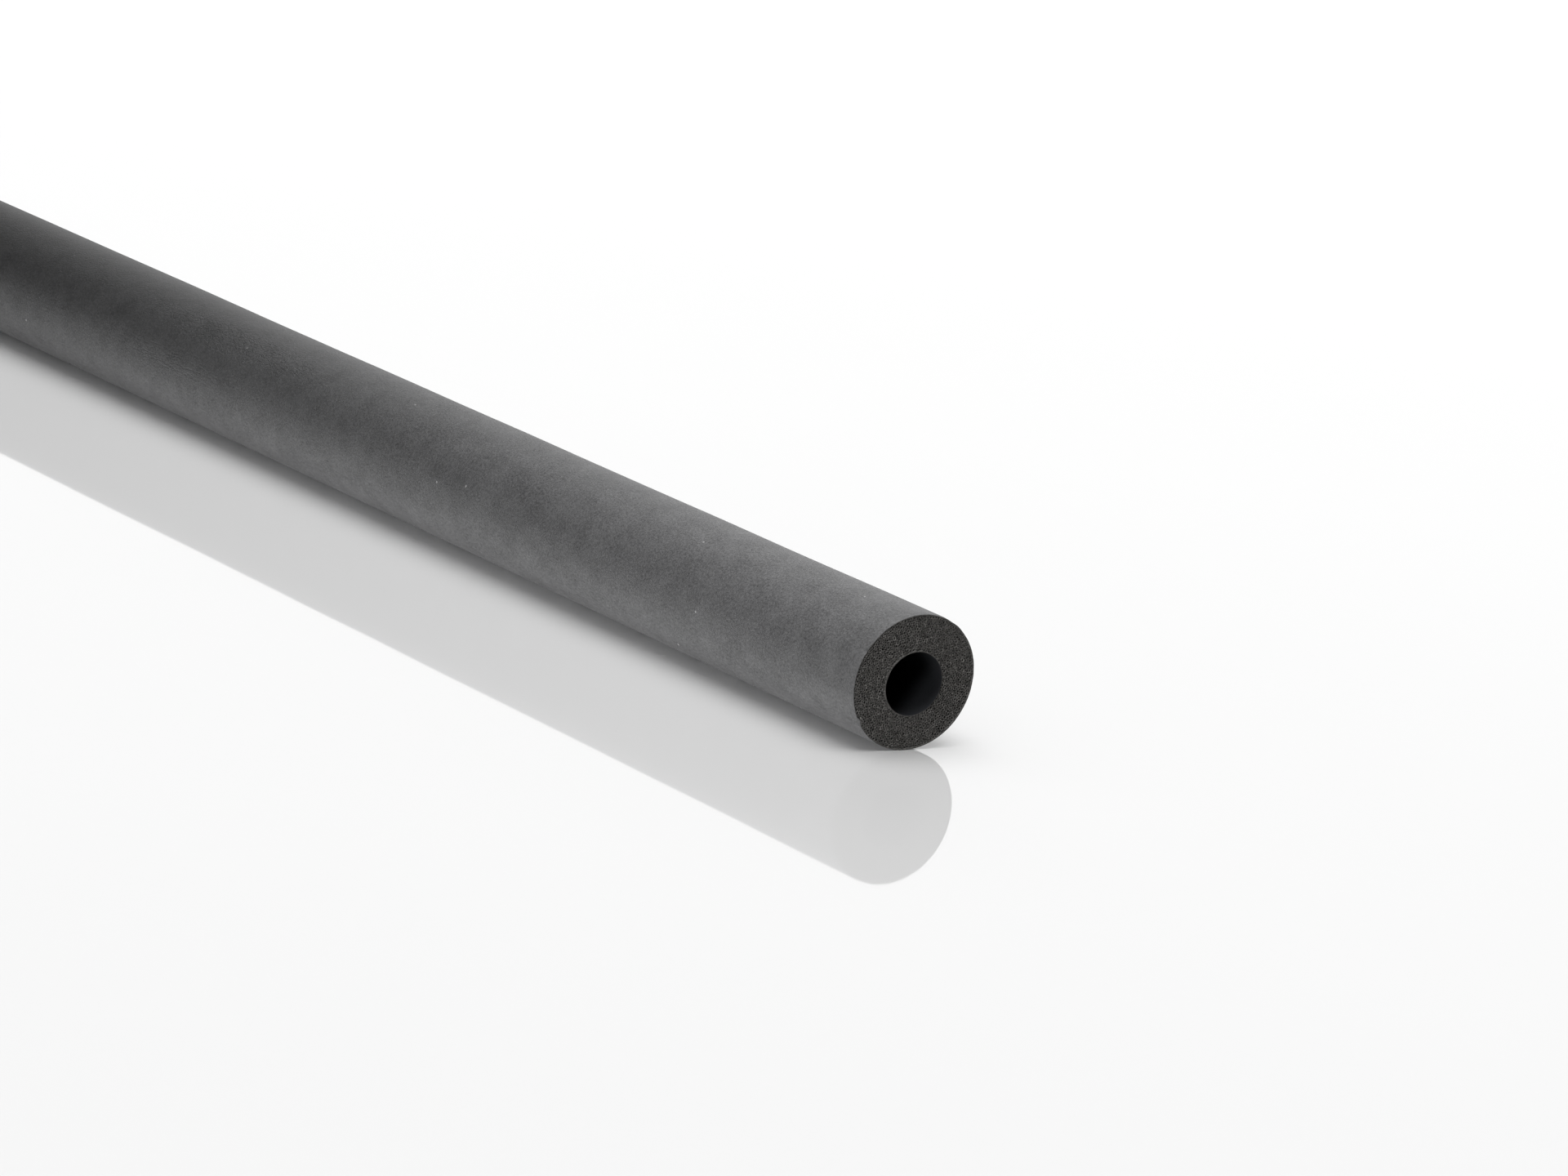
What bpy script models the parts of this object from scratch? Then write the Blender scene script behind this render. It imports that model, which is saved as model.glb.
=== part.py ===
# Closed-cell elastomeric foam lagging for a 22 mm pipe, one straight stock length.
# The tube lies on the ground with its bore along X. Units are metres, +Z is up, and
# the origin is on the ground under the middle of the tube.
import math

import bpy
from mathutils import Vector

# Driving sizes: the pipe, the room left round it, and the foam's wall.
STOCK_LENGTH = 2.0
PIPE_DIAMETER = 0.022
BORE_CLEARANCE = 0.0018
WALL = 0.013

# Soft foam settles under its own weight, so both circles rest as ovals: this much
# wider and this much lower than round. The bore ends up just below the middle.
OUTER_SETTLING = 0.0021
BORE_SETTLING = 0.0010
BORE_SAG = 0.0006

# Each oval is a ring of curve points, with this many straight steps between two.
OVAL_POINTS = 8
OUTER_STEPS = 9
BORE_STEPS = 6

FOAM_GREY = (0.118, 0.119, 0.122, 1.0)
FOAM_ROUGHNESS = 0.72

BORE_DIAMETER = PIPE_DIAMETER + BORE_CLEARANCE
OUTER_DIAMETER = BORE_DIAMETER + 2 * WALL


def clear_scene():
    for old in list(bpy.data.objects):
        bpy.data.objects.remove(old)


def named_collection(name):
    collection = bpy.data.collections.new(name)
    bpy.context.scene.collection.children.link(collection)
    return collection


def foam_rubber():
    material = bpy.data.materials.new("foam_rubber")
    material.use_nodes = True
    shader = material.node_tree.nodes["Principled BSDF"]
    shader.inputs["Base Color"].default_value = FOAM_GREY
    shader.inputs["Roughness"].default_value = FOAM_ROUGHNESS
    shader.inputs["Metallic"].default_value = 0.0
    return material


def add_settled_circle(curve, diameter, settling, height, steps):
    # A circle gone oval, in the curve's own plane, with its middle at this height.
    # Each handle is as long as a true ellipse needs to reach the next point.
    half_width = (diameter + settling) / 2
    half_height = (diameter - settling) / 2
    reach = 4.0 / 3.0 * math.tan(math.pi / (2 * OVAL_POINTS))
    oval = curve.splines.new("BEZIER")
    oval.bezier_points.add(OVAL_POINTS - 1)
    oval.resolution_u = steps
    oval.use_cyclic_u = True
    for index, point in enumerate(oval.bezier_points):
        turn = 2.0 * math.pi * index / OVAL_POINTS
        across = half_width * math.cos(turn)
        up = half_height * math.sin(turn)
        tangent = Vector((-half_width * math.sin(turn), half_height * math.cos(turn), 0.0))
        point.co = (across, height + up, 0.0)
        point.handle_left_type = "FREE"
        point.handle_right_type = "FREE"
        point.handle_left = point.co - tangent * reach
        point.handle_right = point.co + tangent * reach


def insulation_tube(collection):
    # The section is a flat outline with the bore as its hole, drawn out along its own
    # normal as the foam leaves the die, and cut square at both ends.
    section = bpy.data.curves.new("insulation_tube", "CURVE")
    section.dimensions = "2D"
    section.fill_mode = "BOTH"
    section.extrude = STOCK_LENGTH / 2
    axis_height = (OUTER_DIAMETER - OUTER_SETTLING) / 2
    bore_height = axis_height - BORE_SAG
    add_settled_circle(section, OUTER_DIAMETER, OUTER_SETTLING, axis_height, OUTER_STEPS)
    add_settled_circle(section, BORE_DIAMETER, BORE_SETTLING, bore_height, BORE_STEPS)
    section.materials.append(foam_rubber())
    tube = bpy.data.objects.new("insulation_tube", section)
    # The outline's own X and Y become Y and Z, and its normal becomes X.
    tube.rotation_euler = (math.radians(90), 0.0, math.radians(90))
    collection.objects.link(tube)
    return tube


clear_scene()
insulation_tube(named_collection("pipe_insulation_tube"))
bpy.context.view_layer.update()
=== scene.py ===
# %% [markdown]
# # A length of foam pipe lagging
#
# This is a soft tube of closed-cell foam rubber, slid over heating pipework to keep its
# warmth in. It leaves a round die as one piece: the outside and the bore cool into a thin
# matte skin, and only the two ends, cut with a knife, show the cells inside. So the lesson
# makes one closed mesh with three finishes: moulded skin, bore lining and cut cells.
#
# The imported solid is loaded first. It gives every size, and the new tube replaces it.

# %% Load the solid and keep its box
import math
import random

import bpy
from mathutils import Matrix, Vector
from mathutils.geometry import delaunay_2d_cdt


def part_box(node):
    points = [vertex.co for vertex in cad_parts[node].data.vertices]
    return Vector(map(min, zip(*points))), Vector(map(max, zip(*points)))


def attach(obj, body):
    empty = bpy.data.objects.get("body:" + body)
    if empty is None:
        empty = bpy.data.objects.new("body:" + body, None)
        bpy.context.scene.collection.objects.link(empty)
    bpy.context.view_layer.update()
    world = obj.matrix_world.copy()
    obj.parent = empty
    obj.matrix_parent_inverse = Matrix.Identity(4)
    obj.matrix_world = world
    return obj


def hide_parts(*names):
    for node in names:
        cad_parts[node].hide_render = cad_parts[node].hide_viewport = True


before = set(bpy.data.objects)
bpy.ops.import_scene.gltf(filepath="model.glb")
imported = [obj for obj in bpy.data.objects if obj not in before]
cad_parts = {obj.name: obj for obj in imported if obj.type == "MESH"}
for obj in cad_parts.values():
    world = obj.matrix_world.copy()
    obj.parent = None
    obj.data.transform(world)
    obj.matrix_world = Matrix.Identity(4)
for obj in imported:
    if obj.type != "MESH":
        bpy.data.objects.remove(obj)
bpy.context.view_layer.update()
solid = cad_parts["insulation_tube"]
low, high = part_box("insulation_tube")
print("solid from", tuple(low), "to", tuple(high))

# %% [markdown]
# ## The two ovals
#
# Soft foam settles under its own weight, so the outside and the bore are both ovals, a
# little wider than high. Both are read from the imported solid's points, so that nothing is
# typed twice: all of them span the outside, and those well inside the wall span the bore.

# %% Read the ovals from the solid
MM = 0.001

# A point nearer the middle than this share of the outside belongs to the bore.
BORE_ZONE = 0.8


class Oval:
    def __init__(self, half_width, half_height, middle):
        self.half_width = half_width
        self.half_height = half_height
        self.middle = middle

    def point(self, turn):
        across = self.half_width * math.cos(turn)
        up = self.half_height * math.sin(turn)
        return across, self.middle + up

    def reach_of(self, across, up):
        return math.hypot(across / self.half_width, (up - self.middle) / self.half_height)


def oval_round(points):
    widths = [p[0] for p in points]
    heights = [p[1] for p in points]
    half_width = (max(widths) - min(widths)) / 2
    half_height = (max(heights) - min(heights)) / 2
    return Oval(half_width, half_height, (max(heights) + min(heights)) / 2)


section_points = [(v.co.y, v.co.z) for v in solid.data.vertices]
outside = oval_round(section_points)
bore = oval_round([p for p in section_points if outside.reach_of(*p) < BORE_ZONE])
HALF_LENGTH = high.x
print(f"outside {2000 * outside.half_width:.1f} x {2000 * outside.half_height:.1f} mm")
print(f"bore {2000 * bore.half_width:.1f} x {2000 * bore.half_height:.1f} mm")

# %% [markdown]
# ## The camera
#
# A long lens looks down a little, past the near end and along the tube, and it is rolled
# by a few degrees, so the tube runs downhill through the picture. The camera's place is
# measured from the ground under the near end. Its three axes are worked out from two
# angles and the roll, which keeps every number one that can be read off a tripod.

# %% Place the camera
LENS_MM = 150.0
SENSOR_MM = 36.0
AZIMUTH = math.radians(50.58)
ELEVATION = math.radians(13.0)
ROLL = math.radians(8.9)
CAMERA_FROM_NEAR_END = Vector((1.613, -1.388, 0.540))


def camera_axes(azimuth, elevation, roll):
    ahead = Vector((
        -math.sin(azimuth) * math.cos(elevation),
        math.cos(azimuth) * math.cos(elevation),
        -math.sin(elevation),
    ))
    level = Vector((math.cos(azimuth), math.sin(azimuth), 0.0))
    above = level.cross(ahead)
    right = math.cos(roll) * level + math.sin(roll) * above
    up = -math.sin(roll) * level + math.cos(roll) * above
    return right, up, -ahead


lens = bpy.data.cameras.new("camera")
lens.sensor_fit = "HORIZONTAL"
lens.sensor_width = SENSOR_MM
lens.lens = LENS_MM
lens.clip_end = 100.0
camera = bpy.data.objects.new("camera", lens)
bpy.context.scene.collection.objects.link(camera)
turned = Matrix(camera_axes(AZIMUTH, ELEVATION, ROLL)).transposed()
near_ground = Vector((HALF_LENGTH, 0.0, 0.0))
camera.matrix_world = Matrix.Translation(near_ground + CAMERA_FROM_NEAR_END) @ turned.to_4x4()
bpy.context.scene.camera = camera
print("camera at", tuple(round(c, 3) for c in camera.location))

# %% [markdown]
# ## The cells of a cut end
#
# A knife opens the foam's bubbles, so each end is a flat net of thin walls with a small
# pit in every mesh of the net. The net could be a texture, but then the mesh itself would
# be a blank disc. Here it is real: points are thrown on the end no closer than a bubble's
# width, and joined into triangles. Later, a Dual Mesh node turns each point into a
# cell with about six sides, which is how packed bubbles meet.

# %% Scatter one point for each cell
CELL_SPACING = 0.70 * MM

# Points along each rim of the cut face, and how near to the rims a cell's point may lie,
# as shares of the outside and of the bore.
OUTER_RING = 128
BORE_RING = 56
WALL_REACH_OUT = 0.983
WALL_REACH_IN = 1.035

# The face counts as full after this many throws in a row that found no room.
MISSES_ALLOWED = 6000
NEAR_SEED = 11
FAR_SEED = 23


def ring(oval, count):
    return [oval.point(2.0 * math.pi * index / count) for index in range(count)]


def scatter(seed, spacing):
    """Points on the wall's cut face, none closer to another than the spacing."""
    draw = random.Random(seed)
    taken = {}
    points = []

    def square_of(across, up):
        return int(across // spacing), int(up // spacing)

    def is_near(across, up):
        column, row = square_of(across, up)
        for i in range(column - 1, column + 2):
            for j in range(row - 1, row + 2):
                for other in taken.get((i, j), ()):
                    if math.dist(other, (across, up)) < spacing:
                        return True
        return False

    def keep(across, up):
        taken.setdefault(square_of(across, up), []).append((across, up))

    for point in ring(outside, OUTER_RING) + ring(bore, BORE_RING):
        keep(*point)
    misses = 0
    while misses < MISSES_ALLOWED:
        across = draw.uniform(-outside.half_width, outside.half_width)
        up = draw.uniform(0.0, 2.0 * outside.half_height)
        inside_wall = outside.reach_of(across, up) < WALL_REACH_OUT
        outside_bore = bore.reach_of(across, up) > WALL_REACH_IN
        if not (inside_wall and outside_bore):
            continue
        if is_near(across, up):
            misses += 1
            continue
        misses = 0
        keep(across, up)
        points.append((across, up))
    return points


near_cells = scatter(NEAR_SEED, CELL_SPACING)
far_cells = scatter(FAR_SEED, CELL_SPACING)
print("cells:", len(near_cells), "on the near end,", len(far_cells), "on the far end")

# %% [markdown]
# The two rings and the scattered points are triangulated together. The rings are given as
# edges that must stay. Triangles with all three corners on the bore's ring lie in the
# hole, so they are left out, and the rest is a flat washer. Both washers go in one mesh,
# each facing out of the tube.

# %% Join the points into two flat washers
INSIDE_OUTLINE = 1
SAME_POINT = 1e-7


def washer(cells):
    """Points and triangles of one end, seen with the across axis to the right."""
    outer, inner = ring(outside, OUTER_RING), ring(bore, BORE_RING)
    points = [Vector(p) for p in outer + inner + cells]
    edges = [(i, (i + 1) % OUTER_RING) for i in range(OUTER_RING)]
    edges += [(OUTER_RING + i, OUTER_RING + (i + 1) % BORE_RING) for i in range(BORE_RING)]
    places, _, faces, *_ = delaunay_2d_cdt(points, edges, [], INSIDE_OUTLINE, SAME_POINT)
    bore_points = range(OUTER_RING, OUTER_RING + BORE_RING)
    triangles = [tuple(f) for f in faces if not all(i in bore_points for i in f)]
    return [tuple(p) for p in places], triangles


def end_sheets():
    places, faces, rim = [], [], []
    for side, cells in ((1.0, near_cells), (-1.0, far_cells)):
        start = len(places)
        points, triangles = washer(cells)
        places += [(side * HALF_LENGTH, across, up) for across, up in points]
        for a, b, c in triangles:
            order = (a, b, c) if side > 0 else (c, b, a)
            faces.append(tuple(start + i for i in order))
        rim += [index < OUTER_RING + BORE_RING for index in range(len(points))]
    mesh = bpy.data.meshes.new("end_sheets")
    mesh.from_pydata(places, [], faces)
    mesh.attributes.new("rim", "BOOLEAN", "POINT").data.foreach_set("value", rim)
    return mesh


sheets = end_sheets()
print("washers:", len(sheets.vertices), "points,", len(sheets.polygons), "triangles")

# %% [markdown]
# ## Helpers for node trees
#
# Every tree below is built in the script. One helper adds a node, sets its options, and
# fills each input with a number or a link. Some nodes carry several sockets of one name
# and show only the one that their options call for, so that one is looked up. The short
# helpers wrap the nodes used most.

# %% Node helpers
COLUMN_WIDTH = 230
ROW_HEIGHT = 180
NUMBER_RESULTS = ("LENGTH", "DISTANCE", "DOT_PRODUCT")


def in_use(sockets, name):
    """The socket at this index, or the one with this name that its node shows."""
    if isinstance(name, int):
        return sockets[name]
    return next(socket for socket in sockets if socket.name == name and socket.enabled)


def add(tree, kind, inputs=None, **options):
    made = tree.nodes.new(kind)
    for name, value in options.items():
        setattr(made, name, value)
    for name, value in (inputs or {}).items():
        socket = in_use(made.inputs, name)
        if isinstance(value, bpy.types.NodeSocket):
            tree.links.new(value, socket)
        else:
            socket.default_value = value
    return made


def calc(tree, operation, *values):
    return add(tree, "ShaderNodeMath", dict(enumerate(values)), operation=operation).outputs[0]


def vector_calc(tree, operation, *values):
    made = add(tree, "ShaderNodeVectorMath", dict(enumerate(values)), operation=operation)
    return made.outputs["Value" if operation in NUMBER_RESULTS else "Vector"]


def scaled(tree, vector, factor):
    inputs = {0: vector, "Scale": factor}
    return add(tree, "ShaderNodeVectorMath", inputs, operation="SCALE").outputs[0]


def split(tree, vector):
    return add(tree, "ShaderNodeSeparateXYZ", {0: vector}).outputs


def combine(tree, x, y, z):
    return add(tree, "ShaderNodeCombineXYZ", {0: x, 1: y, 2: z}).outputs[0]


def fade(tree, value, start, end, low_value=0.0, high_value=1.0):
    """A number that goes softly from the low to the high value, from start to end."""
    inputs = {
        "Value": value,
        "From Min": start,
        "From Max": end,
        "To Min": low_value,
        "To Max": high_value,
    }
    return add(tree, "ShaderNodeMapRange", inputs, interpolation_type="SMOOTHSTEP").outputs[0]


def noise(tree, vector, size, detail=2.0, roughness=0.5):
    """Noise whose lumps are about this many metres across, from 0 to 1."""
    inputs = {
        "Vector": vector,
        "Scale": calc(tree, "DIVIDE", 1.0, size),
        "Detail": detail,
        "Roughness": roughness,
    }
    return add(tree, "ShaderNodeTexNoise", inputs).outputs[0]


def tidy_tree(tree):
    """Lays the nodes out from left to right, each a column after what feeds it."""
    depth = {}

    def column(node):
        if node.name not in depth:
            depth[node.name] = 0
            feeds = [link.from_node for s in node.inputs for link in s.links]
            depth[node.name] = 1 + max([column(n) for n in feeds], default=-1)
        return depth[node.name]

    filled = {}
    for node in tree.nodes:
        place = column(node)
        node.location = (COLUMN_WIDTH * place, -ROW_HEIGHT * filled.get(place, 0))
        filled[place] = filled.get(place, 0) + 1


# %% [markdown]
# ## The tube as a rule
#
# The long walls follow a rule: the same oval at every station, so a Geometry Nodes tree
# draws them. It starts with a plain open cylinder of radius 1 and places each point by its
# own angle and height. The rows are close together near the cut ends, where the edge has
# small marks, and far apart in the middle, because the cosine of an even count bunches
# up at both ends. Outside and bore are the same few nodes with other numbers.
#
# The tree's sizes are named inputs. Each step adds the ones that it needs to this list.

# %% Nodes for one long oval wall
SIZES = {
    "Half Length": HALF_LENGTH,
    "Half Width": outside.half_width,
    "Half Height": outside.half_height,
    "Middle": outside.middle,
    "Bore Half Width": bore.half_width,
    "Bore Half Height": bore.half_height,
    "Bore Middle": bore.middle,
}
COUNTS = {"Outer Points": 2 * OUTER_RING, "Bore Points": 2 * BORE_RING, "Rows": 96}


def oval_inputs(values, oval):
    """The inputs that hold an oval's sizes. The outside is "" and the bore is "Bore "."""
    return [values[oval + label] for label in ("Half Width", "Half Height", "Middle")]


def position(tree):
    return add(tree, "GeometryNodeInputPosition").outputs[0]


def moved(tree, geometry, inputs):
    return add(tree, "GeometryNodeSetPosition", {"Geometry": geometry, **inputs}).outputs[0]


def oval_wall(tree, values, oval, points):
    half_width, half_height, middle = oval_inputs(values, oval)
    inputs = {"Vertices": points, "Side Segments": values["Rows"], "Radius": 1.0, "Depth": 1.0}
    tin = add(tree, "GeometryNodeMeshCylinder", inputs, fill_type="NONE")
    unit = split(tree, position(tree))
    turn = calc(tree, "MULTIPLY", calc(tree, "ADD", unit[2], 0.5), math.pi)
    along = calc(tree, "MULTIPLY", calc(tree, "COSINE", turn), values["Half Length"])
    across = calc(tree, "MULTIPLY", unit[0], half_width)
    up = calc(tree, "MULTIPLY_ADD", unit[1], half_height, middle)
    place = combine(tree, calc(tree, "MULTIPLY", along, -1.0), across, up)
    return moved(tree, tin.outputs["Mesh"], {"Position": place})


# %% [markdown]
# ## A net of cells
#
# The Dual Mesh node swaps faces and points: every point of a washer becomes a face, with
# a corner in the middle of each triangle round it. That leaves the rim's corners a little
# off the ovals, so they are snapped back, or the ends and the long walls would not meet.

# %% Nodes for the net


def store(tree, geometry, name, kind, domain, value, selection=True):
    inputs = {"Geometry": geometry, "Name": name, "Value": value, "Selection": selection}
    made = add(tree, "GeometryNodeStoreNamedAttribute", inputs, data_type=kind, domain=domain)
    return made.outputs["Geometry"]


def named(tree, name):
    """A yes or no that an earlier node stored on the mesh under this name."""
    made = add(tree, "GeometryNodeInputNamedAttribute", {"Name": name}, data_type="BOOLEAN")
    return in_use(made.outputs, "Attribute")


def logic(tree, operation, *values):
    inputs = dict(enumerate(values))
    return add(tree, "FunctionNodeBooleanMath", inputs, operation=operation).outputs[0]


def place_in_oval(tree, values, oval):
    """Where a point is from the oval's middle, as shares of its half width and height."""
    half_width, half_height, middle = oval_inputs(values, oval)
    _, y, z = split(tree, position(tree))
    across = calc(tree, "DIVIDE", y, half_width)
    up = calc(tree, "DIVIDE", calc(tree, "SUBTRACT", z, middle), half_height)
    return combine(tree, 0.0, across, up)


def snap_to_oval(tree, geometry, values, oval, selection):
    """Puts the chosen points on an oval, along their own direction from its middle."""
    half_width, half_height, middle = oval_inputs(values, oval)
    aim = split(tree, vector_calc(tree, "NORMALIZE", place_in_oval(tree, values, oval)))
    x = split(tree, position(tree))[0]
    across = calc(tree, "MULTIPLY", aim[1], half_width)
    up = calc(tree, "MULTIPLY_ADD", aim[2], half_height, middle)
    return moved(tree, geometry, {"Selection": selection, "Position": combine(tree, x, across, up)})


def net_of_cells(tree, sheet, values):
    dual = add(tree, "GeometryNodeDualMesh", {"Mesh": sheet, "Keep Boundaries": True})
    inputs = {"A": add(tree, "GeometryNodeInputMeshEdgeNeighbors").outputs[0], "B": 1}
    at_border = add(tree, "FunctionNodeCompare", inputs, data_type="INT", operation="EQUAL")
    net = store(tree, dual.outputs[0], "on_ring", "BOOLEAN", "POINT", at_border.outputs[0])
    on_ring = named(tree, "on_ring")
    reach = vector_calc(tree, "LENGTH", place_in_oval(tree, values, ""))
    is_outer = calc(tree, "GREATER_THAN", reach, BORE_ZONE)
    net = snap_to_oval(tree, net, values, "", logic(tree, "AND", on_ring, is_outer))
    return snap_to_oval(tree, net, values, "Bore ", logic(tree, "NIMPLY", on_ring, is_outer))


# %% [markdown]
# ## Pits in the cells
#
# On the cut ends, every cell's face is extruded into the foam by its own random depth and
# its floor is shrunk, so neighbours meet in a sharp thin wall. The cells next to the skin
# and the bore stay flat: they are the dense skin seen edge-on. Before that, the net's
# corners are moved a little inwards, because a knife tears some bubbles deeper. Each face
# also keeps a number for how far into its pit it lies, which sets its colour: the flat rim
# cells get the dense skin's own darker grey, and the pit sides and floors get painted shade,
# darker the deeper they lie.

# %% Nodes for the open cells
SIZES.update({"Cell Depth": 0.9 * MM, "Torn Depth": 0.22 * MM})
COUNTS["Seed"] = 7
TORN_SEED = 5

# The shallowest pit as a share of the cell depth, and the least and most that is left of
# a floor's width.
LEAST_DEPTH = 0.35
PIT_FLOOR_WIDTH = (0.45, 0.8)

# Each face's number, from the cut foam's grey at 0 to near black at 1. The rim's number is the dense
# skin's own darker grey; the pit sides' and floors' numbers are painted shade.
RIM_SHADE = 0.6
PIT_SIDE_PAINTED_SHADE = 0.35
PIT_FLOOR_PAINTED_SHADE = 1.0


def draw_between(tree, low_value, high_value, seed):
    inputs = {"Min": low_value, "Max": high_value, "Seed": seed}
    made = add(tree, "FunctionNodeRandomValue", inputs, data_type="FLOAT")
    return in_use(made.outputs, "Value")


def torn(tree, net, values):
    """Moves the net's corners into the foam, apart from those on its two rims."""
    x = split(tree, position(tree))[0]
    inward = calc(tree, "MULTIPLY", calc(tree, "SIGN", x), -1.0)
    depth = draw_between(tree, 0.0, values["Torn Depth"], TORN_SEED)
    shift = combine(tree, calc(tree, "MULTIPLY", inward, depth), 0.0, 0.0)
    off_ring = logic(tree, "NOT", named(tree, "on_ring"))
    return moved(tree, net, {"Selection": off_ring, "Offset": shift})


def open_cells(tree, net, values):
    rim = named(tree, "rim")
    least = calc(tree, "MULTIPLY", values["Cell Depth"], -LEAST_DEPTH)
    most = calc(tree, "MULTIPLY", values["Cell Depth"], -1.0)
    inputs = {
        "Mesh": net,
        "Selection": logic(tree, "NOT", rim),
        "Offset Scale": draw_between(tree, least, most, values["Seed"]),
        "Individual": True,
    }
    pits = add(tree, "GeometryNodeExtrudeMesh", inputs, mode="FACES")
    pit_floor = pits.outputs["Top"]
    width = draw_between(tree, *PIT_FLOOR_WIDTH, calc(tree, "ADD", values["Seed"], 1))
    inputs = {"Geometry": pits.outputs["Mesh"], "Selection": pit_floor, "Scale": width}
    cells = add(tree, "GeometryNodeScaleElements", inputs, domain="FACE").outputs[0]
    # The rim keeps the dense skin's tone; the pit sides and floors get painted shade.
    cells = store(tree, cells, "pit", "FLOAT", "FACE", RIM_SHADE, rim)
    cells = store(tree, cells, "pit", "FLOAT", "FACE", PIT_SIDE_PAINTED_SHADE, pits.outputs["Side"])
    cells = store(tree, cells, "pit", "FLOAT", "FACE", PIT_FLOOR_PAINTED_SHADE, pit_floor)
    return store(tree, cells, "cut_face", "BOOLEAN", "FACE", True)


# %% [markdown]
# ## Softness
#
# Foam is never quite straight. Once the walls and the ends are sewn together at their
# shared rings, one low noise pulls the whole section inwards by a fraction of a
# millimetre, less towards the ground, where the tube is pressed against the floor. At the
# cut edges a finer noise does the same, as a knife leaves the edge of soft foam a little
# ragged. Two nicks on the near end's edge pull the points near them into the foam.

# %% Nodes for the waves and the nicks
SIZES.update({
    "Wave Size": 70.0 * MM,
    "Wave Depth": 0.5 * MM,
    "Ragged Size": 3.5 * MM,
    "Ragged Depth": 0.4 * MM,
    "Ragged Reach": 2.5 * MM,
    "Nick Size": 2.6 * MM,
    "Nick Depth": 1.2 * MM,
    "Small Nick Size": 1.6 * MM,
    "Small Nick Depth": 0.6 * MM,
})

# Degrees round the near end, counter-clockwise from its right-hand side.
NICK_TURNS = {"Nick": 215.0, "Small Nick": 152.0}
NICK_PLACES = {
    f"{nick} Place": (HALF_LENGTH, *outside.point(math.radians(turn)))
    for nick, turn in NICK_TURNS.items()
}

# How far a nick runs along the tube for each step that it goes in.
NICK_SLANT = 0.9


def waved(tree, geometry, values, outward):
    """Pulls the skin inwards by the low noise, and the cut edges by the finer one too."""
    where = position(tree)
    x, _, z = split(tree, where)
    free = fade(tree, z, 0.0, values["Middle"])
    wave = noise(tree, where, values["Wave Size"], detail=1.0)
    pull = calc(tree, "MULTIPLY", calc(tree, "MULTIPLY", wave, free), values["Wave Depth"])
    from_end = calc(tree, "SUBTRACT", values["Half Length"], calc(tree, "ABSOLUTE", x))
    at_edge = fade(tree, from_end, values["Ragged Reach"], 0.0)
    ragged = calc(tree, "MULTIPLY", noise(tree, where, values["Ragged Size"]), at_edge)
    ragged = calc(tree, "MULTIPLY", ragged, values["Ragged Depth"])
    pull = calc(tree, "MULTIPLY_ADD", ragged, free, pull)
    return moved(tree, geometry, {"Offset": scaled(tree, outward, calc(tree, "MULTIPLY", pull, -1.0))})


def nicked(tree, geometry, values, outward):
    where = position(tree)
    into_foam = vector_calc(tree, "SUBTRACT", (-NICK_SLANT, 0.0, 0.0), outward)
    for nick in NICK_TURNS:
        apart = vector_calc(tree, "DISTANCE", where, values[f"{nick} Place"])
        bite = fade(tree, apart, values[f"{nick} Size"], 0.0, 0.0, values[f"{nick} Depth"])
        geometry = moved(tree, geometry, {"Offset": scaled(tree, into_foam, bite)})
    return geometry


def softened(tree, geometry, values):
    _, y, z = split(tree, position(tree))
    rise = calc(tree, "SUBTRACT", z, values["Middle"])
    outward = vector_calc(tree, "NORMALIZE", combine(tree, 0.0, y, rise))
    return nicked(tree, waved(tree, geometry, values, outward), values, outward)


# %% [markdown]
# ## The whole tree
#
# The tree takes the washers as its geometry and every size as a named input. It ends in
# Realize Instances and Set Material: skin everywhere, then the bore's lining and the cut
# cells over it where a face attribute says so.

# %% Build the tree and its inputs
SEWING_REACH = 0.01 * MM

# Each finish goes where the attribute says, and the first goes everywhere.
FINISH_PLACES = {"Skin": None, "Lining": "bore_wall", "Cells": "cut_face"}


def new_tree(name, kind, inputs, outputs):
    """A node group with named sockets: {name: (socket type, default or None)}."""
    tree = bpy.data.node_groups.new(name, kind)
    for direction, sockets in (("INPUT", inputs), ("OUTPUT", outputs)):
        for label, (socket_type, default) in sockets.items():
            made = tree.interface.new_socket(label, in_out=direction, socket_type=socket_type)
            if default is not None:
                made.default_value = default
    return tree, add(tree, "NodeGroupInput").outputs, add(tree, "NodeGroupOutput").inputs


def joined(tree, parts):
    made = add(tree, "GeometryNodeJoinGeometry")
    for part in parts:
        tree.links.new(part, made.inputs[0])
    return made.outputs[0]


def shaded(tree, geometry, smooth):
    inputs = {0: geometry, "Shade Smooth": smooth}
    return add(tree, "GeometryNodeSetShadeSmooth", inputs).outputs[0]


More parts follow.
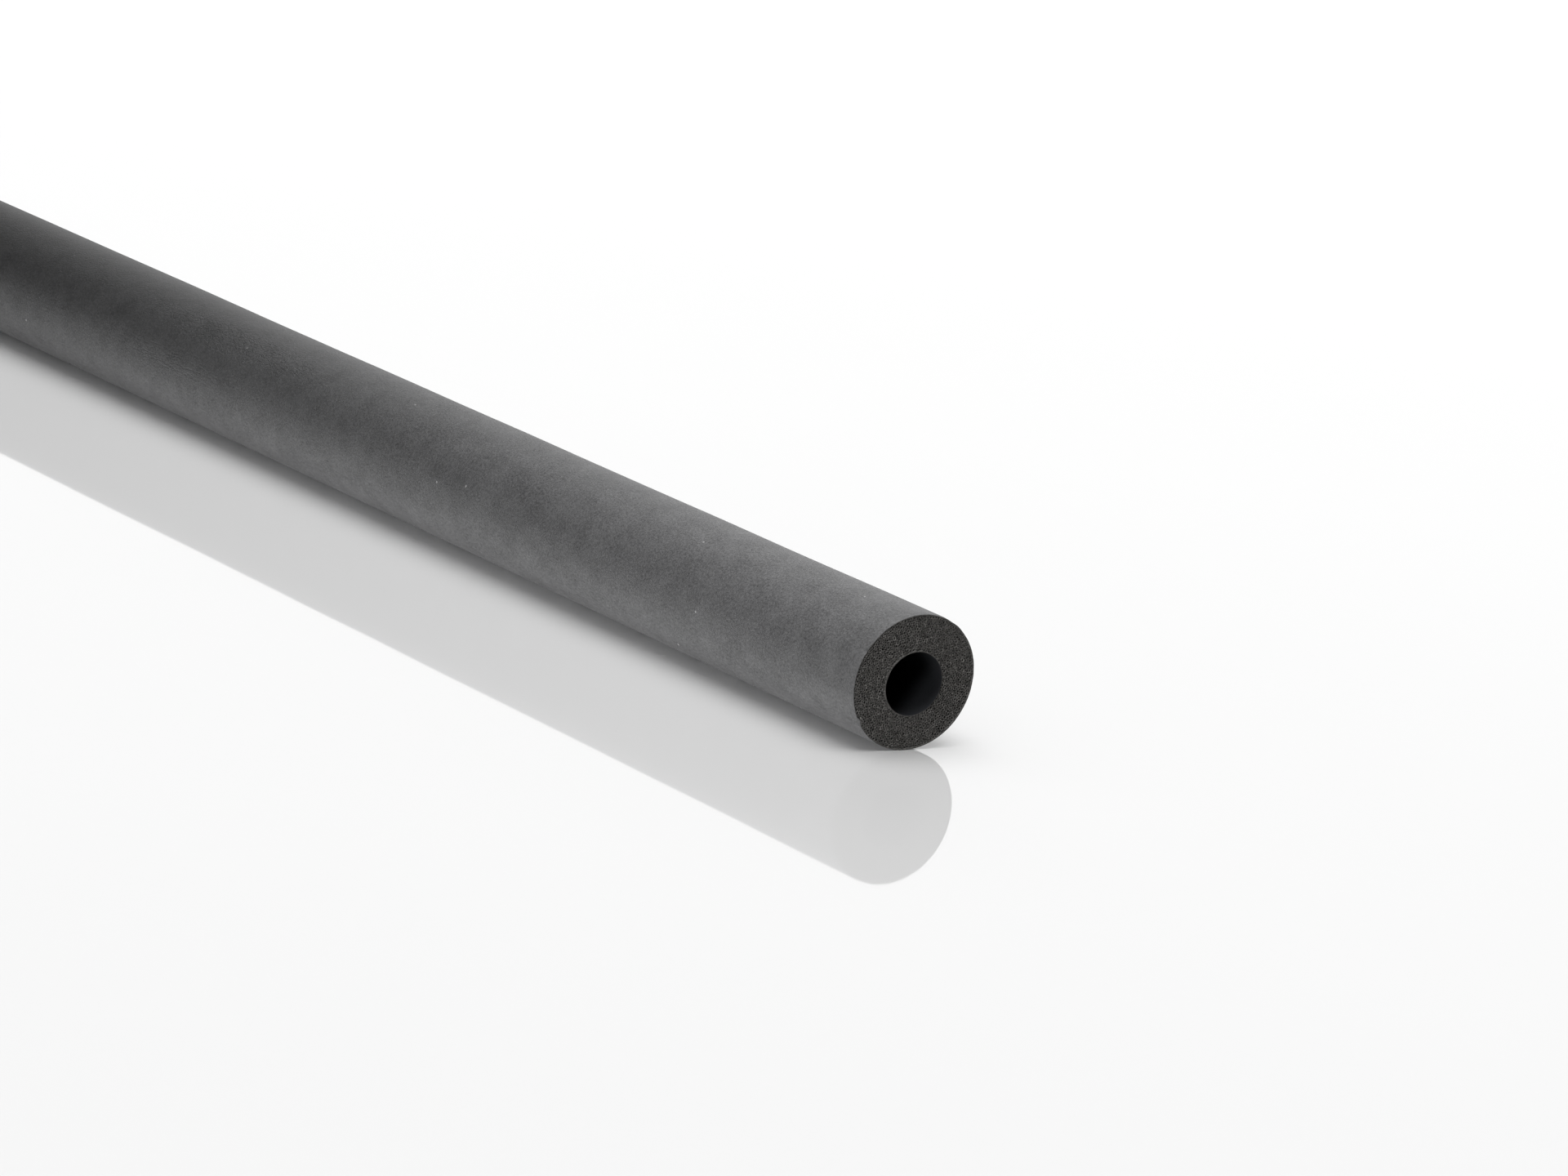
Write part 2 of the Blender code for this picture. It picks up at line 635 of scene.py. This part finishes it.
def lagging_tree():
    inputs = {"Geometry": ("NodeSocketGeometry", None)}
    inputs.update({label: ("NodeSocketFloat", None) for label in SIZES})
    inputs.update({label: ("NodeSocketInt", None) for label in COUNTS})
    inputs.update({label: ("NodeSocketVector", None) for label in NICK_PLACES})
    inputs.update({label: ("NodeSocketMaterial", None) for label in FINISH_PLACES})
    outputs = {"Geometry": ("NodeSocketGeometry", None)}
    tree, values, result = new_tree("foam_lagging", "GeometryNodeTree", inputs, outputs)
    tree.is_modifier = True
    skin = oval_wall(tree, values, "", values["Outer Points"])
    lining = oval_wall(tree, values, "Bore ", values["Bore Points"])
    lining = add(tree, "GeometryNodeFlipFaces", {"Mesh": lining}).outputs[0]
    lining = store(tree, lining, "bore_wall", "BOOLEAN", "FACE", True)
    walls = shaded(tree, joined(tree, (skin, lining)), smooth=True)
    net = torn(tree, net_of_cells(tree, values["Geometry"], values), values)
    ends = shaded(tree, open_cells(tree, net, values), smooth=False)
    inputs = {"Geometry": joined(tree, (walls, ends)), "Distance": SEWING_REACH}
    sewn = add(tree, "GeometryNodeMergeByDistance", inputs).outputs[0]
    soft = softened(tree, sewn, values)
    real = add(tree, "GeometryNodeRealizeInstances", {"Geometry": soft}).outputs[0]
    for label, attribute in FINISH_PLACES.items():
        where = named(tree, attribute) if attribute else True
        inputs = {"Geometry": real, "Selection": where, "Material": values[label]}
        real = add(tree, "GeometryNodeSetMaterial", inputs).outputs[0]
    tree.links.new(real, result[0])
    tidy_tree(tree)
    return tree


lagging = lagging_tree()
print("tree of", len(lagging.nodes), "nodes")

# %% [markdown]
# ## Effects that the finishes share
#
# All three finishes are the same foam, so they share two node groups. The first gives a
# tone that drifts in soft blotches with a fine grain on it. The second gives the height
# of that grain for a Bump node. Both read Object coordinates in metres, so the grain has
# the same real size on the skin, in the bore and on the ends.

# %% Shader groups: tone and grain


def shader_group(name, inputs, output, kind="NodeSocketFloat"):
    """An empty group with these inputs, and the one output that it is to fill."""
    return new_tree(name, "ShaderNodeTree", inputs, {output: (kind, None)})


def swing(tree, value, strength):
    """Turns a value from 0 to 1 into one that swings about 0 with this strength."""
    return calc(tree, "MULTIPLY", calc(tree, "SUBTRACT", value, 0.5), strength)


def foam_tone_group():
    inputs = {
        "Vector": ("NodeSocketVector", None),
        "Colour": ("NodeSocketColor", (0.1, 0.1, 0.1, 1.0)),
        "Blotch Size": ("NodeSocketFloat", 8.0 * MM),
        "Blotch": ("NodeSocketFloat", 0.1),
        "Grain Size": ("NodeSocketFloat", 0.6 * MM),
        "Grain": ("NodeSocketFloat", 0.15),
    }
    tree, values, result = shader_group("foam_tone", inputs, "Colour", "NodeSocketColor")
    blotch = noise(tree, values["Vector"], values["Blotch Size"], detail=3.0)
    grain = noise(tree, values["Vector"], values["Grain Size"], detail=3.0, roughness=0.7)
    blotch = swing(tree, blotch, values["Blotch"])
    level = calc(tree, "ADD", blotch, swing(tree, grain, values["Grain"]))
    level = calc(tree, "ADD", level, 1.0)
    tree.links.new(scaled(tree, values["Colour"], level), result[0])
    tidy_tree(tree)
    return tree


def foam_grain_group():
    inputs = {
        "Vector": ("NodeSocketVector", None),
        "Grain Size": ("NodeSocketFloat", 0.5 * MM),
        "Lump Size": ("NodeSocketFloat", 6.0 * MM),
        "Lump": ("NodeSocketFloat", 0.5),
    }
    tree, values, result = shader_group("foam_grain", inputs, "Height")
    grain = noise(tree, values["Vector"], values["Grain Size"], detail=3.0, roughness=0.65)
    lump = noise(tree, values["Vector"], values["Lump Size"])
    height = calc(tree, "MULTIPLY_ADD", lump, values["Lump"], grain)
    tree.links.new(height, result[0])
    tidy_tree(tree)
    return tree


foam_tone = foam_tone_group()
foam_grain = foam_grain_group()
print("groups:", foam_tone.name, "and", foam_grain.name)

# %% [markdown]
# ## Effects of the skin alone
#
# Handling has left a few faint creases in the soft skin, too shallow for the mesh. Each
# crease is the line where a noise crosses its middle value, and an oval patch fades the
# lines out, so one group can be placed wherever the skin is creased. The specks are dust:
# small pale dots, one in some of the fields of a Voronoi texture.

# %% Shader groups: creases and specks

# How far off the noise's middle value a crease reaches, and where its patch starts to fade.
CREASE_WIDTH = 0.07
PATCH_CORE = 0.3

# The share of fields that stay without a speck.
WITHOUT_SPECK = 0.7


def creases_group():
    inputs = {
        "Vector": ("NodeSocketVector", None),
        "Place": ("NodeSocketVector", (0.0, 0.0, 0.0)),
        "Reach": ("NodeSocketVector", (1.0, 1.0, 1.0)),
        "Crease Size": ("NodeSocketFloat", 2.0 * MM),
        "Stretch": ("NodeSocketVector", (1.0, 1.0, 1.0)),
    }
    tree, values, result = shader_group("creases", inputs, "Crease")
    apart = vector_calc(tree, "SUBTRACT", values["Vector"], values["Place"])
    apart = vector_calc(tree, "LENGTH", vector_calc(tree, "DIVIDE", apart, values["Reach"]))
    patch = fade(tree, apart, 1.0, PATCH_CORE)
    drawn_out = vector_calc(tree, "DIVIDE", values["Vector"], values["Stretch"])
    lumps = noise(tree, drawn_out, values["Crease Size"], detail=3.0, roughness=0.6)
    off_middle = calc(tree, "ABSOLUTE", calc(tree, "SUBTRACT", lumps, 0.5))
    line = fade(tree, off_middle, CREASE_WIDTH, 0.0)
    tree.links.new(calc(tree, "MULTIPLY", line, patch), result[0])
    tidy_tree(tree)
    return tree


def specks_group():
    inputs = {
        "Vector": ("NodeSocketVector", None),
        "Apart": ("NodeSocketFloat", 8.0 * MM),
        "Speck Size": ("NodeSocketFloat", 0.45 * MM),
    }
    tree, values, result = shader_group("specks", inputs, "Speck")
    scale = calc(tree, "DIVIDE", 1.0, values["Apart"])
    fields = add(tree, "ShaderNodeTexVoronoi", {"Vector": values["Vector"], "Scale": scale})
    radius = calc(tree, "MULTIPLY", values["Speck Size"], scale)
    dot = calc(tree, "LESS_THAN", fields.outputs["Distance"], radius)
    number = split(tree, fields.outputs["Color"])[0]
    chosen = calc(tree, "GREATER_THAN", number, WITHOUT_SPECK)
    tree.links.new(calc(tree, "MULTIPLY", dot, chosen), result[0])
    tidy_tree(tree)
    return tree


creases = creases_group()
specks = specks_group()
print("groups:", creases.name, "and", specks.name)

# %% [markdown]
# ## The three finishes
#
# The skin is a matte dark grey with a fine sandy grain, a few specks and two faintly
# creased patches. Its gloss is a weak, wide sheen, so it lightens only where light grazes
# it. The lining has less relief and is almost black: the same foam with painted shade for
# the bore's inside. The cut cells run from the dark grey of their walls to nearly black in
# the pits, by the number kept on each face, which paints shade into the pits.

# %% Colours and helpers for the finishes
SKIN_COLOUR = (0.032, 0.032, 0.0325, 1.0)
# The bore's skin is the same dark foam as the outside; its colour is painted much darker, as shade for
# the inside of the bore.
LINING_COLOUR_WITH_PAINTED_SHADE = (0.006, 0.0063, 0.007, 1.0)
SPECK_COLOUR = (0.10, 0.10, 0.10, 1.0)
WALL_COLOUR = (0.068, 0.066, 0.063, 1.0)
# Near black: painted shade for the depth of the pits.
PIT_PAINTED_SHADE_COLOUR = (0.006, 0.0058, 0.0055, 1.0)


def new_material(name, roughness, specular):
    material = bpy.data.materials.new(name)
    material.use_nodes = True
    shader = material.node_tree.nodes["Principled BSDF"]
    shader.inputs["Roughness"].default_value = roughness
    shader.inputs["Specular IOR Level"].default_value = specular
    return material, material.node_tree, shader


def object_place(tree):
    return add(tree, "ShaderNodeTexCoord").outputs["Object"]


def place_group(tree, group, inputs):
    return add(tree, "ShaderNodeGroup", inputs, node_tree=group).outputs[0]


def mix_colour(tree, factor, start, end):
    made = add(tree, "ShaderNodeMix", {"Factor": factor, "A": start, "B": end}, data_type="RGBA")
    return in_use(made.outputs, "Result")


def finish_surface(tree, shader, colour, height, strength, distance):
    """Gives the shader its colour, and its bump from a height."""
    tree.links.new(colour, shader.inputs["Base Color"])
    inputs = {"Height": height, "Strength": strength, "Distance": distance}
    made = add(tree, "ShaderNodeBump", inputs)
    tree.links.new(made.outputs[0], shader.inputs["Normal"])


# %% The moulded skin

# Place, reach, stretch and depth of each creased patch: one on the upper front, with its
# creases in all directions, and one at the side, whose creases run along the tube.
CREASES = (
    ((0.60, -0.017, 0.042), (0.075, 0.009, 0.012), (2.0, 1.0, 1.0), 1.0),
    ((0.57, -0.026, 0.028), (0.050, 0.006, 0.009), (8.0, 1.0, 1.0), 0.4),
)


def moulded_skin():
    material, tree, shader = new_material("moulded_skin", roughness=0.5, specular=0.38)
    where = object_place(tree)
    inputs = {
        "Vector": where,
        "Colour": SKIN_COLOUR,
        "Blotch Size": 9.0 * MM,
        "Blotch": 0.6,
        "Grain Size": 0.8 * MM,
        "Grain": 2.0,
    }
    tone = place_group(tree, foam_tone, inputs)
    speck = place_group(tree, specks, {"Vector": where})
    colour = mix_colour(tree, speck, tone, SPECK_COLOUR)
    inputs = {"Vector": where, "Grain Size": 0.7 * MM, "Lump Size": 5.0 * MM, "Lump": 0.8}
    height = place_group(tree, foam_grain, inputs)
    for place, reach, stretch, depth in CREASES:
        inputs = {"Vector": where, "Place": place, "Reach": reach, "Stretch": stretch}
        crease = place_group(tree, creases, inputs)
        height = calc(tree, "MULTIPLY_ADD", crease, -depth, height)
    finish_surface(tree, shader, colour, height, strength=1.0, distance=0.22 * MM)
    return material


# %% The bore's lining and the cut cells


def bore_lining():
    material, tree, shader = new_material("bore_lining", roughness=0.6, specular=0.15)
    where = object_place(tree)
    inputs = {
        "Vector": where,
        # Nearly black: the foam's colour with painted shade for the bore.
        "Colour": LINING_COLOUR_WITH_PAINTED_SHADE,
        "Blotch Size": 9.0 * MM,
        "Blotch": 0.3,
        "Grain Size": 0.8 * MM,
        "Grain": 0.4,
    }
    colour = place_group(tree, foam_tone, inputs)
    height = place_group(tree, foam_grain, {"Vector": where, "Grain Size": 0.7 * MM})
    finish_surface(tree, shader, colour, height, strength=0.4, distance=0.2 * MM)
    return material


def cut_cells():
    material, tree, shader = new_material("cut_cells", roughness=0.85, specular=0.3)
    where = object_place(tree)
    # The pit number mixes painted shade into the cut foam's grey, most on the pit floors.
    pit = add(tree, "ShaderNodeAttribute", None, attribute_name="pit").outputs["Fac"]
    inputs = {
        "Vector": where,
        "Colour": mix_colour(tree, pit, WALL_COLOUR, PIT_PAINTED_SHADE_COLOUR),
        "Blotch Size": 4.0 * MM,
        "Blotch": 0.4,
        "Grain Size": 0.9 * MM,
        "Grain": 3.4,
    }
    colour = place_group(tree, foam_tone, inputs)
    height = place_group(tree, foam_grain, {"Vector": where, "Grain Size": 0.3 * MM})
    finish_surface(tree, shader, colour, height, strength=0.5, distance=0.15 * MM)
    return material


FINISHES = {"Skin": moulded_skin(), "Lining": bore_lining(), "Cells": cut_cells()}
print("finishes:", [m.name for m in FINISHES.values()])

# %% [markdown]
# ## Run the tree once
#
# The washers get the tree as a modifier. Its inputs are set by each socket's identifier
# before anything is evaluated. Then the evaluated result becomes a plain mesh, and the
# modifier goes, so the finished tube is ordinary faces with its place in its mesh.

# %% Make the tube


def set_inputs(modifier, tree, given):
    for item in tree.interface.items_tree:
        if item.in_out == "INPUT" and item.name in given:
            modifier[item.identifier] = given[item.name]


tube = bpy.data.objects.new("foam_lagging_tube", sheets)
bpy.context.scene.collection.objects.link(tube)
shaping = tube.modifiers.new("foam_lagging", "NODES")
shaping.node_group = lagging
set_inputs(shaping, lagging, {**SIZES, **COUNTS, **NICK_PLACES, **FINISHES})
graph = bpy.context.evaluated_depsgraph_get()
finished = bpy.data.meshes.new_from_object(
    tube.evaluated_get(graph), preserve_all_data_layers=True, depsgraph=graph
)
tube.modifiers.remove(shaping)
tube.data = finished
finished.name = "foam_lagging_tube"

# The tree's own cylinders start with an empty material slot, which no face uses now.
if finished.materials[0] is None:
    finished.materials.pop(index=0)
triangles = sum(len(face.vertices) - 2 for face in finished.polygons)
print("tube:", len(finished.vertices), "points,", triangles, "triangles")

# %% [markdown]
# ## Floor and studio
#
# The floor is a smooth, pale, glossy sheet, like white acrylic, and it mirrors the tube
# faintly. The studio is a world shader that reads only the direction: a wide bright
# ceiling, which is the soft main light, dimmer slopes below it, and one bright wall that
# the camera faces. That wall is what the floor mirrors at a flat angle, so the ground
# turns white round the tube.

# %% The floor
FLOOR_REACH = 60.0
FLOOR_BELOW = 0.05 * MM
FLOOR_COLOUR = (0.93, 0.93, 0.93, 1.0)


def floor():
    mesh = bpy.data.meshes.new("floor")
    r = FLOOR_REACH
    mesh.from_pydata([(-r, -r, 0), (r, -r, 0), (r, r, 0), (-r, r, 0)], [], [(0, 1, 2, 3)])
    sheet = bpy.data.objects.new("floor", mesh)
    bpy.context.scene.collection.objects.link(sheet)
    sheet.location.z = -FLOOR_BELOW
    material, _, shader = new_material("pale_gloss", roughness=0.03, specular=0.5)
    shader.inputs["Base Color"].default_value = FLOOR_COLOUR
    mesh.materials.append(material)
    return sheet


ground = floor()
print(ground.name, "of", 2 * FLOOR_REACH, "m a side")

# %% The room

# Brightness of each part. The ceiling and the slopes start and end at these sines of the
# height, and the far wall at these cosines of the angle from straight ahead.
CEILING = 2.3
SLOPES = 0.15
FAR_WALL = 1.2
ROOM = 0.03
CEILING_EDGE = (0.80, 0.92)
SLOPES_EDGE = (0.34, 0.50)
WALL_EDGE = (0.80, 0.91)


def studio():
    world = bpy.data.worlds.new("studio")
    world.use_nodes = True
    tree = world.node_tree
    where = add(tree, "ShaderNodeTexCoord").outputs["Generated"]
    height = split(tree, where)[2]
    ahead = (-math.sin(AZIMUTH), math.cos(AZIMUTH), 0.0)
    facing = vector_calc(tree, "DOT_PRODUCT", where, ahead)
    slopes = fade(tree, height, *SLOPES_EDGE, ROOM, SLOPES)
    ceiling = fade(tree, height, *CEILING_EDGE, 0.0, CEILING - SLOPES)
    far_wall = fade(tree, facing, *WALL_EDGE, 0.0, FAR_WALL)
    level = calc(tree, "ADD", calc(tree, "ADD", slopes, ceiling), far_wall)
    tree.links.new(level, tree.nodes["Background"].inputs["Strength"])
    tree.nodes["Background"].inputs["Color"].default_value = (1.0, 1.0, 1.0, 1.0)
    tidy_tree(tree)
    return world


bpy.context.scene.world = studio()
bpy.context.scene.view_settings.view_transform = "Standard"
print("world:", bpy.context.scene.world.name)

# %% [markdown]
# ## Lamps with one target each
#
# The tube is lightest at its near end and sinks into dark grey further back, so three
# soft spots hang round the near end, and a softbox below the table's height lights the
# tube's low front side, as a clear lit table does. They are linked to the tube alone,
# which does what a photographer does with black flags: no pool of light shows on the
# floor. Only the tube blocks the softbox, so its light comes up through the floor.
# Two more spots light the far end in the same way, for the views from behind. A wide soft
# sun is linked to the floor alone. It keeps the ground pale and draws the soft dark line
# along the tube's foot.

# %% A lamp that lights one thing


def alone(name, lit):
    """A collection of one object, which is how a lamp is told what to light."""
    collection = bpy.data.collections.new(name)
    collection.objects.link(lit)
    return collection


def hang(name, kind, place, target, lit):
    lamp = bpy.data.lights.new(name, kind)
    made = bpy.data.objects.new(name, lamp)
    bpy.context.scene.collection.objects.link(made)
    made.location = place
    aim = Vector(target) - Vector(place)
    made.rotation_mode = "QUATERNION"
    made.rotation_quaternion = aim.to_track_quat("-Z", "Y")
    made.visible_camera = False
    made.visible_glossy = False
    made.light_linking.receiver_collection = lit
    return made


tube_alone = alone("tube_alone", tube)
floor_alone = alone("floor_alone", ground)

# %% Spots over both ends

# Place, target and watts of each spot.
SPOTS = {
    "over_near_end": ((1.05, -0.1, 0.9), (1.0, 0.0, 0.0), 90.0),
    "beside_near_end": ((1.5, -0.9, 0.6), (1.05, 0.0, 0.0), 69.0),
    "over_the_tube": ((0.6, 0.2, 0.8), (0.95, 0.0, 0.0), 33.0),
    "over_far_end": ((-0.85, 0.1, 0.9), (-0.75, 0.0, 0.0), 90.0),
    "beside_far_end": ((-1.5, 0.7, 0.6), (-1.05, 0.0, 0.0), 69.0),
}
SPOT_CONE = math.radians(64.0)
SPOT_RADIUS = 0.2

for spot_name, (spot_place, spot_target, watts) in SPOTS.items():
    spot = hang(spot_name, "SPOT", spot_place, spot_target, tube_alone).data
    spot.spot_size = SPOT_CONE
    spot.spot_blend = 1.0
    spot.shadow_soft_size = SPOT_RADIUS
    spot.energy = watts
print("spots:", ", ".join(SPOTS))

# %% The softbox below and the sun over the floor
SOFTBOX_PLACE = (0.88, -0.25, -0.385)
SOFTBOX_TARGET = (0.88, 0.0, 0.02)
SOFTBOX_SIZE = (0.8, 0.3)
SOFTBOX_RADIANCE = 16.5
SUN_PLACE = (0.0, -1.0, 1.7)
SUN_TARGET = (0.0, 0.0, 0.0)
SUN_STRENGTH = 0.74
SUN_ANGLE = math.radians(90.0)

softbox = hang("below_the_table", "AREA", SOFTBOX_PLACE, SOFTBOX_TARGET, tube_alone)
softbox.light_linking.blocker_collection = tube_alone
softbox.data.shape = "RECTANGLE"
softbox.data.size, softbox.data.size_y = SOFTBOX_SIZE
softbox.data.energy = SOFTBOX_RADIANCE * math.prod(SOFTBOX_SIZE) * math.pi
sun = hang("over_the_floor", "SUN", SUN_PLACE, SUN_TARGET, floor_alone)
sun.data.energy = SUN_STRENGTH
sun.data.angle = SUN_ANGLE
print("wide lamps:", softbox.name, "and", sun.name)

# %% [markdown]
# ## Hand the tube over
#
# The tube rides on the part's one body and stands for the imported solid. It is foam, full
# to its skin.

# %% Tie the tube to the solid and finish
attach(tube, "root")
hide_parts("insulation_tube")
